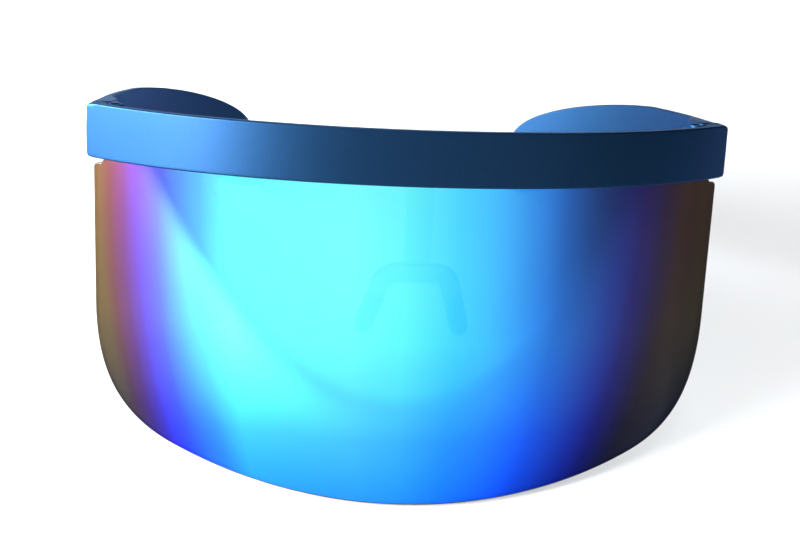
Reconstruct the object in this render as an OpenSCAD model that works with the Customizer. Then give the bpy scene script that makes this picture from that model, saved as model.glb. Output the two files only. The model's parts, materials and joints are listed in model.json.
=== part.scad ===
// Shield sunglasses: a flat-top brow bar with one large wrap lens, a nose piece and two folding temples.
// X runs across the face, Y from the front to the back of the head, Z up, all before the glasses are stood.
// They stand open on a table, on the lens's lower edge and both temple tips, so the front leans back.

/* [Brow bar] */
// Width of the front across both end pieces
front_w = 160; // [150:1:172]
// Radius of the bar's front face, seen from above
front_r = 110; // [104:1:122]
// Height of the bar at the middle
bar_h = 12.7; // [12.2:0.1:16]
// How much lower the bar's bottom edge lies at its ends
bar_arch = 0.6; // [0.2:0.1:1.4]
// Thickness of the bar's front wall
front_wall = 2; // [1.7:0.1:2.6]
// Thickness of the bar's top wall, over the lens
top_wall = 2.2; // [1.8:0.1:2.6]
// Radius of the corners where the front turns to the sides
corner_r = 1.6; // [1:0.1:2.2]
// Thickness of the end pieces
end_t = 4.5; // [4:0.1:5.2]
// How far the end pieces reach behind the corners
end_l = 4.9; // [4.4:0.1:6]
// How far the ends lean in at the bottom
end_slant = 0.6; // [0.2:0.1:1]
// Depth of the groove in the bar's underside that takes the lens's neck
groove_d = 1.2; // [0.8:0.1:1.6]

/* [Lens] */
// Thickness of the lens
lens_t = 1.5; // [1.2:0.1:2]
// Width of the lens, straight across
lens_w = 157.2; // [147:0.2:158.6]
// Width of the neck, where the lens comes out of the bar
neck_w = 151.2; // [140:0.2:151.6]
// Height of the neck that shows under the bar
neck_h = 1.3; // [0.8:0.1:2]
// From the top of the bar to the lens's lowest point
lens_drop = 89.8; // [78:0.5:96]
// Radius of the lens's bottom edge, seen from the front
lens_bottom_r = 205; // [180:5:260]
// Radius of the lens's small upper corners
lens_corner_r = 1.3; // [0.8:0.1:2]

/* [Lens strip and screws] */
// Thickness of the strip that clamps the lens
strip_t = 1.1; // [0.9:0.1:1.6]
// Radius of the screws' shanks
shank_r = 0.65; // [0.5:0.05:0.7]
// Radius of the screws' heads
head_r = 1.3; // [1.2:0.05:1.5]
// Height of the screws' heads
head_h = 0.7; // [0.5:0.05:0.9]
// From the strip's ends to the outer lens screws
screw_end = 9.5; // [6:0.5:14]

/* [Nose piece] */
// Width of the stem
stem_w = 6.1; // [5:0.1:7]
// Thickness of the stem and its mounting tab
stem_t = 1.8; // [1.4:0.1:2.4]
// Width of the mounting tab
tab_w = 13; // [12:0.5:16]
// Distance between the two nose screws
nose_screw_gap = 7.4; // [6:0.2:8]
// From the top of the bar down to the arch
arch_drop = 33.7; // [28:0.1:38]
// Radius of the arch's round section
arch_r = 2.4; // [2:0.1:2.8]
// Half the width between the middles of the pads' tips
nose_half = 11.7; // [9.5:0.1:13]
// Radius of the arch's two bends
bend_in_r = 4.2; // [3.4:0.1:5]
// Length of each straight leg, to the middle of the pad's tip
leg_l = 14.2; // [12:0.1:18]
// How far each leg splays out
leg_splay = 15; // [8:0.5:20]
// How far the legs lean back from the stem
leg_tilt = 27; // [15:1:35]
// Length of the soft pad, without its round tip
pad_l = 9.6; // [7:0.1:11]
// Radius of the core that carries each pad
core_r = 1.2; // [1:0.1:1.4]

/* [Hinges] */
// Radius of the hinge knuckles
knuckle_r = 1.6; // [1.4:0.05:1.7]
// Height of each knuckle
knuckle_h = 2.3; // [2:0.05:2.4]
// Thickness of the hinge leaves
leaf_t = 0.9; // [0.7:0.05:1]
// Length of the leaf on the bar
front_leaf_l = 9.8; // [9:0.1:10.5]
// Length of the leaf on the temple, behind the pin
temple_leaf_l = 12.4; // [11:0.1:13]
// Radius of the hinge pin
pin_r = 0.7; // [0.6:0.05:0.8]
// How far the pin lies in front of the end pieces' rear faces
pin_setback = 1.4; // [1.2:0.1:1.8]

/* [Temples] */
// Length of a temple, from its front face to its tip
temple_l = 122; // [105:1:128]
// Thickness of the blade
blade_t = 2.2; // [1.8:0.1:2.8]
// Length of the thick block that carries the hinge
block_l = 10.5; // [10:0.1:14]
// Length of the straight stretch before the blade bends in
straight_l = 19; // [16:1:30]
// Radius of the blade's bend, seen from above
bend_r = 180; // [165:1:230]
// How far the blade's lowest point lies under the bar's top
tip_drop = 42; // [36:0.5:48]
// Gap between an end piece and the temple's front face
split_gap = 1; // [0.5:0.1:1.6]
// How far the temples lie inside the front's full width, on each side
temple_inset = 0.4; // [0:0.1:0.8]
// How far the temple's top lies under the bar's top at the hinge
temple_sink = 0.4; // [0.2:0.1:1]

/* [Hidden] */
$fn = 64;
arc_fn = 360;

// Clearances and cutting lengths
fit_gap = 0.05;
thread_gap = 0.02;
arch_gap = 0.5;
bend_lap = 0.4;
lens_hole_gap = 0.2;
side_gap = 0.8;
swing_gap = 0.3;
knuckle_gap = 0.15;
cut = 1;

// Colours
PAINT = [0.10, 0.33, 0.58];
MIRROR = [0.12, 0.62, 0.95];
DARK = [0.06, 0.10, 0.16];
CLEAR = [0.72, 0.80, 0.84];
SILICONE = [0.62, 0.70, 0.74];
STEEL = [0.70, 0.71, 0.73];

// Front, seen from above: every cylinder stands about the point front_r behind the bar's middle
half_w = front_w / 2;
lens_ro = front_r - front_wall - fit_gap;
lens_ri = lens_ro - lens_t;
strip_ro = lens_ri - fit_gap;
strip_ri = strip_ro - strip_t;
bar_ri = strip_ri;
corner_x = half_w - corner_r;
corner_y = front_r - sqrt(pow(front_r - corner_r, 2) - pow(corner_x, 2));
corner_a = atan2(corner_x, front_r - corner_y);
end_y = corner_y + end_l;
end_h = bar_h + bar_arch;
wall_left_share = 0.3;
wall_left = front_wall * wall_left_share;

// Hinge pin
lip_share = 0.45;
lip_r = knuckle_r + leaf_t * lip_share;
pin_x = half_w - end_t - swing_gap - lip_r;
pin_y = end_y - pin_setback;
pin_a = atan2(pin_x, front_r - pin_y);
pin_arc = norm([pin_x, front_r - pin_y]);

// Hinge stack, centred on the height that the bar and the temple share
stack_h = 3 * knuckle_h + 2 * knuckle_gap;
stack_top = -(end_h - stack_h) / 2;
stack_low = stack_top - stack_h;
stack_mid = stack_top - stack_h / 2;
lip_gap = 0.2;
lip_top = stack_top + head_h + lip_gap;
lip_low = stack_low - head_h;
pin_tail = head_h / 2;

// Leaf on the bar: flat, set a little into the bar's back
seat_d = 0.3;
leaf_start = 0.2;
leaf_mid = leaf_start + front_leaf_l / 2;
leaf_a = pin_a - leaf_mid / bar_ri * 180 / PI;
leaf_v = bar_ri + seat_d - pin_arc * cos(pin_a - leaf_a);
leaf_screw_shares = [0.36, 0.78];
arm_shares = [0.6, 1.5, 0.9];
sink_share = 0.7;
leaf_screw_share = 0.9;
leaf_screw_r = shank_r * leaf_screw_share;
leaf_head_r = 2 * leaf_screw_r;
leaf_screw_l = 2.9;
temple_screw_l = 3.6;

// Pocket in the bar's back, and the lens's tab and the strip in it
land = 3;
pocket_a = pin_a - (leaf_start + front_leaf_l + land) / bar_ri * 180 / PI;
tab_x = lens_ri * sin(pocket_a) - side_gap;
strip_a = pocket_a - side_gap / strip_ri * 180 / PI;
screw_outer_a = strip_a - screw_end / strip_ri * 180 / PI;
nose_screw_a = asin(nose_screw_gap / 2 / (strip_ri - stem_t));
screw_inner_a = (screw_outer_a + nose_screw_a) / 2;
lens_screw_angles = [-screw_outer_a, -screw_inner_a, screw_inner_a, screw_outer_a];
nose_screw_angles = [-nose_screw_a, nose_screw_a];
tab_screw_angles = concat(lens_screw_angles, nose_screw_angles);
neck_x = neck_w / 2;
lens_x = lens_w / 2;
neck_a = asin(neck_x / lens_ri) + side_gap / lens_ri * 180 / PI / 2;
screw_z = -(top_wall + bar_h) / 2;
screw_len = strip_t + lens_t + front_wall + 2 * fit_gap - wall_left;
lens_hole_r = shank_r + lens_hole_gap;
slot_share = 0.28;

// Lens outline, seen from the front: the side's lower end, the round lower corner and the bottom's arc
body_top = -(end_h + neck_h);
side_share = 0.56;
side_pull_share = 0.18;
foot_share = 0.735;
foot_pull_share = 0.2;
foot_x = lens_x * foot_share;
foot_cos = sqrt(pow(lens_bottom_r, 2) - pow(foot_x, 2));
foot_z = -lens_drop + lens_bottom_r - foot_cos;
foot_slope = foot_x / foot_cos;
foot_pull = lens_x * foot_pull_share;
foot_a = asin(foot_x / lens_bottom_r);
side_z = -lens_drop * side_share;

// Nose piece: stem behind the lens, arch and two legs that spread down and back
tab_h_share = 0.72;
tab_top = screw_z + bar_h * tab_h_share / 2;
tab_low = screw_z - bar_h * tab_h_share / 2;
stem_ro = bar_ri - fit_gap;
stem_ri = stem_ro - stem_t;
arch_y = front_r - lens_ri + arch_r + arch_gap;
core_share = 0.85;
leg_x = nose_half - leg_l * sin(leg_splay);
leg_z = bend_in_r * (1 - sin(leg_splay));
bend_x = leg_x - bend_in_r * cos(leg_splay);
core_start = leg_l - pad_l;

// Temple, seen from the side: shares of its length and of its drop, by hand
temple_y = end_y + split_gap;
temple_x = half_w - temple_inset;
leaf_lap_share = 0.1;
block_x = pin_x + knuckle_r - leaf_t * leaf_lap_share;
top_shares = [[0.42, 0.036], [0.69, 0.079], [1, 0.227], [1, 0.524]];
rear_shares = [[1, 0.524], [1, 0.833], [0.958, 1], [0.89, 1]];
low_shares = [[0.89, 1], [0.712, 1]];
hinge_shares = [[0.5, 0.07], [0.093, 0.02]];
bend_a = 40;
ramp_share = 0.35;
curve_n = 12;

// Standing pose: the plane through the lens's foot that the temples' outline just touches
foot_y = front_r - lens_ri;
lean = min([for (p = temple_outline()) atan2(p[1] + lens_drop, p[0] - foot_y)]);
back_y = max([for (p = temple_outline()) p[0] * cos(lean) + p[1] * sin(lean)]);
front_y = (front_r - lens_ro) * cos(lean) - lens_drop * sin(lean);
stand_y = (front_y + back_y) / 2;
stand_z = lens_drop * cos(lean) + foot_y * sin(lean);

// A point on a cubic curve through the first and last of four points
function bezier(p, t) =
    pow(1 - t, 3) * p[0] + 3 * t * pow(1 - t, 2) * p[1] + 3 * t * t * (1 - t) * p[2] + pow(t, 3) * p[3];

// Points along that curve, without its first
function bezier_points(p) = [for (i = [1:curve_n]) bezier(p, i / curve_n)];

// Points along an arc, both ends included
function arc_points(c, r, a0, a1) =
    [for (i = [0:curve_n]) let (a = a0 + (a1 - a0) * i / curve_n) c + r * [cos(a), sin(a)]];

// Mirror a list of outline points about the middle, in reverse order
function mirrored(p) = [for (i = [len(p) - 1:-1:0]) [-p[i][0], p[i][1]]];

// Right half of the lens outline, from the top down to the middle of the bottom edge
function lens_half() = concat(
    [
        [tab_x, -top_wall - fit_gap],
        [tab_x, -bar_h + groove_d - fit_gap],
        [neck_x, -bar_h + groove_d - fit_gap],
        [neck_x, body_top]
    ],
    arc_points([lens_x - lens_corner_r, body_top - lens_corner_r], lens_corner_r, 90, 0),
    [[lens_x, side_z]],
    bezier_points([
        [lens_x, side_z],
        [lens_x, side_z - lens_drop * side_pull_share],
        [foot_x + foot_pull, foot_z + foot_pull * foot_slope],
        [foot_x, foot_z]
    ]),
    [for (i = [1:curve_n]) let (a = foot_a * (1 - i / curve_n))
        [lens_bottom_r * sin(a), -lens_drop + lens_bottom_r * (1 - cos(a))]]
);

// Points of a temple's outline from shares of its length and drop
function temple_points(s) = [for (p = s) [temple_y + temple_l * p[0], -tip_drop * p[1]]];

// Points of a temple's outline near the hinge, from shares of its length and of the drop under the bar
function hinge_points(s) =
    [for (p = s) [temple_y + temple_l * p[0], -end_h - (tip_drop - end_h) * p[1]]];

// Outline of a temple, seen from the side
function temple_outline() = concat(
    [[temple_y, -temple_sink]],
    [temple_points(top_shares)[0]],
    bezier_points(temple_points(top_shares)),
    bezier_points(temple_points(rear_shares)),
    bezier_points(concat(temple_points(low_shares), hinge_points(hinge_shares))),
    [[temple_y, -end_h]]
);

// Turns the children to an angle around the front's own axis; outwards is then -Y
module on_arc(a) {
    translate([0, front_r, 0])
        rotate([0, 0, a])
            children();
}

// A sector of a ring about the front's axis
module sector(r_out, r_in, half_a, z_top, z_low) {
    on_arc(-90 - half_a)
        rotate_extrude(angle = 2 * half_a, $fn = arc_fn)
            translate([r_in, z_low])
                square([r_out - r_in, z_top - z_low]);
}

// Placed at the middle of the arch, with the legs' plane upright
module at_arch() {
    translate([0, arch_y, -arch_drop])
        rotate([leg_tilt, 0, 0])
            children();
}

// Placed at the top of the right leg, with Z down along it
module at_leg() {
    at_arch()
        translate([leg_x, 0, -leg_z])
            rotate([0, 180 - leg_splay, 0])
                children();
}

// A radial screw whose head lies on the hollow surface of radius r; it points outwards
module radial_screw(a, z, r, l, rad) {
    on_arc(a)
        translate([0, thread_gap - r, z])
            rotate([90, 0, 0])
                slotted_screw(l, rad);
}

// A pan head screw along +Z with its head under the origin
module slotted_screw(l, rad) {
    cylinder(h = l, r = rad);
    difference() {
        translate([0, 0, -head_h])
            cylinder(h = head_h, r = head_r);
        translate([-head_r - cut, -head_r * slot_share / 2, -head_h - cut])
            cube([2 * (head_r + cut), head_r * slot_share, cut + head_h / 2]);
    }
}

// A countersunk screw along +Z, its flat head flush with the origin
module flush_screw(l, rad, head, sink) {
    difference() {
        union() {
            cylinder(h = l, r = rad);
            cylinder(h = sink, r1 = head, r2 = rad);
        }
        translate([-head, -head * slot_share / 2, -sink])
            cube([2 * head, head * slot_share, sink + sink / 2]);
    }
}

// The hole for a countersunk screw, a little larger all round
module flush_hole(l, rad, head, sink) {
    translate([0, 0, -cut])
        cylinder(h = cut, r = head + fit_gap);
    cylinder(h = sink, r1 = head + fit_gap, r2 = rad + fit_gap);
    cylinder(h = l + fit_gap, r = rad + thread_gap);
}

// The glasses as they stand on a table
module stand() {
    translate([0, -stand_y, stand_z])
        rotate([-lean, 0, 0])
            children();
}

// Both sides of the children, mirrored about the middle
module both_sides() {
    children();
    mirror([1, 0, 0])
        children();
}

// The bar seen from above, with its two end pieces
module bar_plan() {
    intersection() {
        translate([0, front_r])
            difference() {
                circle(r = front_r, $fn = arc_fn);
                circle(r = bar_ri, $fn = arc_fn);
            }
        translate([0, front_r])
            polygon([
                [0, 0],
                2 * front_r * [-sin(corner_a), -cos(corner_a)],
                2 * front_r * [0, -1],
                2 * front_r * [sin(corner_a), -cos(corner_a)]
            ]);
    }
    for (s = [-1, 1]) {
        translate([s * corner_x, corner_y])
            circle(r = corner_r);
        translate([s * (half_w - end_t / 2) - end_t / 2, corner_y])
            square([end_t, end_l]);
    }
}

// The bar seen from the front: level top, ends leaning in, bottom rising towards the middle
module bar_front() {
    low_x = half_w - end_slant;
    right = concat(
        [[half_w, 0]],
        arc_points([low_x - corner_r / 2, -end_h + corner_r / 2], corner_r / 2, 0, -90),
        [for (i = [1:curve_n]) let (s = 1 - i / curve_n) [low_x * s, -bar_h - bar_arch * s * s]]
    );
    polygon(concat(right, mirrored(right)));
}

// Placed at the leaf on the bar: X along the leaf towards the middle, Z out into the bar
module at_front_leaf() {
    translate([pin_x, pin_y, 0])
        rotate([0, 0, leaf_a])
            mirror([1, 0, 0])
                translate([0, -leaf_v, 0])
                    rotate([90, 0, 0])
                        children();
}

// The two screws of a leaf on the bar, or their holes
module front_leaf_screw_pair(hole) {
    for (s = leaf_screw_shares)
        at_front_leaf()
            translate([leaf_start + front_leaf_l * s, stack_mid, -leaf_t])
                if (hole)
                    flush_hole(leaf_screw_l, leaf_screw_r, leaf_head_r, leaf_t * sink_share);
                else
                    flush_screw(leaf_screw_l, leaf_screw_r, leaf_head_r, leaf_t * sink_share);
}

// The two screws of a leaf on a temple, or their holes
module temple_leaf_screw_pair(hole) {
    for (s = leaf_screw_shares)
        translate([block_x - leaf_t, temple_y + block_l * s, stack_mid])
            rotate([0, 90, 0])
                if (hole)
                    flush_hole(temple_screw_l, leaf_screw_r, leaf_head_r, leaf_t * sink_share);
                else
                    flush_screw(temple_screw_l, leaf_screw_r, leaf_head_r, leaf_t * sink_share);
}

module brow_bar() {
    color(PAINT)
        difference() {
            intersection() {
                translate([0, 0, -end_h - cut])
                    linear_extrude(height = end_h + 2 * cut)
                        bar_plan();
                translate([0, end_y + cut, 0])
                    rotate([90, 0, 0])
                        linear_extrude(height = end_y + 2 * cut)
                            bar_front();
            }
            sector(front_r - front_wall, bar_ri - cut, pocket_a, -top_wall, -end_h - cut);
            sector(front_r - front_wall, lens_ri - fit_gap, neck_a, -bar_h + groove_d, -end_h - cut);
            for (a = tab_screw_angles)
                radial_hole(a, front_r - wall_left);
            both_sides()
                leaf_seat();
            both_sides()
                front_leaf_screw_pair(true);
        }
}

// A blind thread hole in the bar's front wall, up to radius r
module radial_hole(a, r) {
    on_arc(a)
        translate([0, -strip_ri, screw_z])
            rotate([90, 0, 0])
                cylinder(h = r - strip_ri + fit_gap, r = shank_r + thread_gap);
}

// The shallow seat of a leaf in the bar's back
module leaf_seat() {
    at_front_leaf()
        translate([leaf_start - side_gap, stack_low - fit_gap, -leaf_t - cut])
            cube([front_leaf_l + side_gap + fit_gap, stack_h + 2 * fit_gap, leaf_t + cut]);
}

module lens() {
    color(MIRROR)
        difference() {
            intersection() {
                translate([0, front_r, -lens_drop - cut])
                    difference() {
                        cylinder(h = lens_drop + 2 * cut, r = lens_ro, $fn = arc_fn);
                        translate([0, 0, -cut])
                            cylinder(h = lens_drop + 4 * cut, r = lens_ri, $fn = arc_fn);
                    }
                translate([0, front_r, 0])
                    rotate([90, 0, 0])
                        linear_extrude(height = front_r)
                            polygon(concat(lens_half(), mirrored(lens_half())));
            }
            for (a = tab_screw_angles)
                lens_hole(a);
        }
}

// A clear hole in the lens's tab
module lens_hole(a) {
    on_arc(a)
        translate([0, -lens_ri + cut, screw_z])
            rotate([90, 0, 0])
                cylinder(h = lens_t + 2 * cut, r = lens_hole_r);
}

module lens_strip() {
    color(DARK)
        difference() {
            sector(strip_ro, strip_ri, strip_a, -top_wall - fit_gap, -bar_h);
            for (a = tab_screw_angles)
                strip_hole(a);
        }
}

// A hole in the strip with room for a screw's shank
module strip_hole(a) {
    on_arc(a)
        translate([0, -strip_ri + cut, screw_z])
            rotate([90, 0, 0])
                cylinder(h = strip_t + 2 * cut, r = shank_r + fit_gap);
}

module lens_screws() {
    color(STEEL)
        for (a = lens_screw_angles)
            radial_screw(a, screw_z, strip_ri, screw_len, shank_r);
}

module nose_bracket() {
    color(CLEAR)
        difference() {
            union() {
                nose_stem();
                at_arch()
                    translate([-bend_x - bend_lap, 0, 0])
                        rotate([0, 90, 0])
                            cylinder(h = 2 * (bend_x + bend_lap), r = arch_r - fit_gap);
                both_sides()
                    arch_side();
            }
            for (a = nose_screw_angles)
                on_arc(a)
                    translate([0, -stem_ri + cut, screw_z])
                        rotate([90, 0, 0])
                            cylinder(h = stem_t + 2 * cut, r = shank_r + fit_gap);
        }
}

// The mounting tab and the stem under it, curved like the bar's back
module nose_stem() {
    intersection() {
        translate([0, front_r, -arch_drop])
            difference() {
                cylinder(h = arch_drop, r = stem_ro, $fn = arc_fn);
                translate([0, 0, -cut])
                    cylinder(h = arch_drop + 2 * cut, r = stem_ri, $fn = arc_fn);
            }
        translate([0, front_r, 0])
            rotate([90, 0, 0])
                linear_extrude(height = front_r)
                    polygon([
                        [-tab_w / 2, tab_top],
                        [tab_w / 2, tab_top],
                        [tab_w / 2, tab_low],
                        [stem_w / 2, tab_low],
                        [stem_w / 2, -arch_drop],
                        [-stem_w / 2, -arch_drop],
                        [-stem_w / 2, tab_low],
                        [-tab_w / 2, tab_low]
                    ]);
    }
}

// The right bend of the arch, its leg and the thinner core under the pad
module arch_side() {
    at_arch()
        translate([bend_x, 0, -bend_in_r])
            rotate([90, 0, 0])
                rotate([0, 0, leg_splay])
                rotate_extrude(angle = 90 - leg_splay)
                    translate([bend_in_r, 0])
                        circle(r = arch_r);
    at_leg() {
        translate([0, 0, -bend_lap])
            cylinder(h = core_start + bend_lap, r = arch_r - fit_gap);
        cylinder(h = core_start + pad_l * core_share, r = core_r);
    }
}

// The right pad: a soft sleeve over the leg's core, with a round tip
module pad() {
    color(SILICONE)
        at_leg()
            translate([0, 0, core_start])
                rotate_extrude()
                    difference() {
                        pad_profile(arch_r - fit_gap);
                        translate([0, -cut])
                            square([core_r + fit_gap, cut + pad_l * core_share + fit_gap]);
                    }
}

// Half of the pad cut along its length
module pad_profile(r) {
    square([r, pad_l]);
    translate([0, pad_l])
        intersection() {
            circle(r = r);
            square([r, r]);
        }
}

module nose_pad_right() {
    pad();
}

module nose_pad_left() {
    mirror([1, 0, 0])
        pad();
}

module nose_screws() {
    color(STEEL)
        for (a = nose_screw_angles)
            radial_screw(a, screw_z, stem_ri, screw_len + stem_t + fit_gap, shank_r);
}

// The right leaf on the bar: a flat plate and two knuckles around the pin
module front_leaf() {
    color(STEEL)
        difference() {
            union() {
                at_front_leaf()
                    translate([leaf_start, stack_low, -leaf_t])
                        cube([front_leaf_l, stack_h, leaf_t]);
                for (z = [stack_low, stack_top - knuckle_h])
                    translate([pin_x, pin_y, z])
                        rotate([0, 0, leaf_a])
                            linear_extrude(height = knuckle_h)
                                front_knuckle_plan();
            }
            front_leaf_screw_pair(true);
        }
}

// A knuckle of the leaf on the bar and its arm, seen from above, about the pin
module front_knuckle_plan() {
    root = -leaf_v + leaf_t / 2;
    difference() {
        union() {
            circle(r = knuckle_r);
            polygon([
                knuckle_r * [arm_shares[0], 0],
                [-leaf_start, root],
                [-knuckle_r * arm_shares[1], root],
                knuckle_r * [-arm_shares[2], 0]
            ]);
        }
        circle(r = pin_r + fit_gap);
    }
}

module front_leaf_right() {
    front_leaf();
}

module front_leaf_left() {
    mirror([1, 0, 0])
        front_leaf();
}

module front_leaf_screws() {
    color(STEEL)
        both_sides()
            front_leaf_screw_pair(false);
}

// The right leaf on the temple: a flat plate on the block's inner face and one knuckle
module temple_leaf() {
    mid_z = stack_top - knuckle_h - knuckle_gap;
    color(STEEL)
        difference() {
            union() {
                translate([block_x - leaf_t, temple_y, stack_low])
                    cube([leaf_t, temple_leaf_l - pin_setback, stack_h]);
                translate([pin_x, pin_y, mid_z - knuckle_h])
                    cylinder(h = knuckle_h, r = knuckle_r);
                translate([block_x - leaf_t, pin_y, mid_z - knuckle_h])
                    cube([leaf_t, temple_y - pin_y + leaf_t, knuckle_h]);
            }
            translate([pin_x, pin_y, stack_low])
                cylinder(h = stack_h, r = pin_r + fit_gap);
            temple_leaf_screw_pair(true);
        }
}

module temple_leaf_right() {
    temple_leaf();
}

module temple_leaf_left() {
    mirror([1, 0, 0])
        temple_leaf();
}

module temple_leaf_screws_right() {
    color(STEEL)
        temple_leaf_screw_pair(false);
}

module temple_leaf_screws_left() {
    mirror([1, 0, 0])
        temple_leaf_screws_right();
}

// The right pivot screw, head up
module hinge_screw() {
    color(STEEL)
        translate([pin_x, pin_y, stack_top])
            mirror([0, 0, 1])
                slotted_screw(stack_h + pin_tail, pin_r);
}

module hinge_screw_right() {
    hinge_screw();
}

module hinge_screw_left() {
    mirror([1, 0, 0])
        hinge_screw();
}

// The blade and its block, seen from above
module temple_plan() {
    ramp = (temple_x - blade_t - block_x) / ramp_share;
    polygon([
        [block_x, temple_y],
        [temple_x, temple_y],
        [temple_x, temple_y + straight_l],
        [temple_x - blade_t, temple_y + straight_l],
        [temple_x - blade_t, temple_y + block_l + ramp],
        [block_x, temple_y + block_l]
    ]);
    translate([temple_x - bend_r, temple_y + straight_l])
        intersection() {
            difference() {
                circle(r = bend_r, $fn = arc_fn);
                circle(r = bend_r - blade_t, $fn = arc_fn);
            }
            polygon([[0, 0], [2 * bend_r, 0], 2 * bend_r * [cos(bend_a), sin(bend_a)]]);
        }
}

// A lip of the temple over or under the hinge, round about the pin
module lip(z_low, z_top) {
    translate([0, 0, z_low])
        linear_extrude(height = z_top - z_low) {
            translate([pin_x, pin_y])
                circle(r = lip_r);
            polygon([
                [pin_x - lip_r, pin_y],
                [pin_x + lip_r, pin_y],
                [pin_x + lip_r, temple_y],
                [temple_x - blade_t, temple_y],
                [temple_x - blade_t, temple_y + block_l / 2],
                [block_x, temple_y + block_l / 2]
            ]);
        }
}

// The right temple
module temple() {
    color(PAINT)
        difference() {
            union() {
                intersection() {
                    translate([0, 0, -tip_drop - cut])
                        linear_extrude(height = tip_drop + 2 * cut)
                            temple_plan();
                    rotate([90, 0, 90])
                        linear_extrude(height = front_w)
                            polygon(temple_outline());
                }
                lip(lip_top, -temple_sink - lip_gap);
                lip(-end_h + lip_gap, lip_low);
            }
            translate([pin_x, pin_y, lip_top - cut])
                cylinder(h = 2 * cut - lip_top, r = head_r + lip_gap);
            temple_leaf_screw_pair(true);
        }
}

module temple_right() {
    temple();
}

module temple_left() {
    mirror([1, 0, 0])
        temple();
}

stand() brow_bar();
stand() lens();
stand() lens_strip();
stand() lens_screws();
stand() nose_bracket();
stand() nose_pad_left();
stand() nose_pad_right();
stand() nose_screws();
stand() front_leaf_left();
stand() front_leaf_right();
stand() front_leaf_screws();
stand() temple_left();
stand() temple_right();
stand() temple_leaf_left();
stand() temple_leaf_right();
stand() temple_leaf_screws_left();
stand() temple_leaf_screws_right();
stand() hinge_screw_left();
stand() hinge_screw_right();
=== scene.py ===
import json
import logging
import math
from dataclasses import dataclass, field
from enum import Enum, IntEnum
from typing import Callable

import bmesh
import bpy
import numpy as np
from mathutils import Matrix, Vector


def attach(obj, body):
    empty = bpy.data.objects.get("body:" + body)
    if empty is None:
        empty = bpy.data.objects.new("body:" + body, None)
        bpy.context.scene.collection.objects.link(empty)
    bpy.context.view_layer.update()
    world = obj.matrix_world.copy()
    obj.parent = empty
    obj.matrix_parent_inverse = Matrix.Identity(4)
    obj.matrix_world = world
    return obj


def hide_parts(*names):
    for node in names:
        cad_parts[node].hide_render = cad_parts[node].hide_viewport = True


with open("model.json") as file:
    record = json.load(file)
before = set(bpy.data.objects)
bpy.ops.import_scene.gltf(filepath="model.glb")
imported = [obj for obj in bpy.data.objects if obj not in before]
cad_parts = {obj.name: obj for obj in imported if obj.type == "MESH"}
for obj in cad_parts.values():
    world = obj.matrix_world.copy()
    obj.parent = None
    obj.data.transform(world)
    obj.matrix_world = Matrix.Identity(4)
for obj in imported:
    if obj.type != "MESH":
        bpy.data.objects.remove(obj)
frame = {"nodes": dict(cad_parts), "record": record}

LOG = logging.getLogger("shield_sunglasses")
MM = 0.001

Array = np.ndarray
Sides = tuple[Array, Array, Array, Array]
Node = bpy.types.Node
Socket = bpy.types.NodeSocket
Object = bpy.types.Object


class Body(Enum):
    """The bodies that pieces ride on."""

    FRONT = "front"
    LEFT = "left_temple"
    RIGHT = "right_temple"


class Slot(Enum):
    """The record's material slots for the bar's paint and the mirror lens."""

    PAINT = "bar_paint"
    MIRROR = "mirror_lens"


@dataclass(frozen=True)
class Stand:
    """How the upright glasses are set down on the table.

    Points are given in millimetres, with the bar's top at Z = 0, its front middle at Y = 0 and the head
    behind it, and come back in metres in the shared frame.
    """

    lean: float
    shift_y: float
    shift_z: float

    @classmethod
    def from_record(cls, record: dict, top_mount_y: float) -> "Stand":
        """Reads the lean from a hinge's axis and the shift from the mount on the bar's top.

        Args:
            record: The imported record.
            top_mount_y: Where the mount lies behind the bar's front, in millimetres.

        Returns:
            The stand of this record.
        """
        axis = next(j["axis"] for j in record["behaviour"]["joints"] if j["name"] == "right_temple_hinge")
        lean = math.atan2(axis[1], axis[2])
        pos = next(m["pos_m"] for m in record["mounts"] if m["name"] == "flat_top")
        y = top_mount_y * MM
        return cls(lean, pos[1] - y * math.cos(lean), pos[2] + y * math.sin(lean))

    def place(self, points: Array) -> Array:
        """Stands rows of (x, y, z) in millimetres up in the shared frame, in metres."""
        return self.turn(np.asarray(points, float).reshape(-1, 3) * MM) + [0.0, self.shift_y, self.shift_z]

    def turn(self, vectors: Array) -> Array:
        """Turns rows of directions as the stand does."""
        cos, sin, (x, y, z) = math.cos(self.lean), math.sin(self.lean), np.asarray(vectors, float).T
        return np.column_stack([x, y * cos + z * sin, -y * sin + z * cos])


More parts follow.
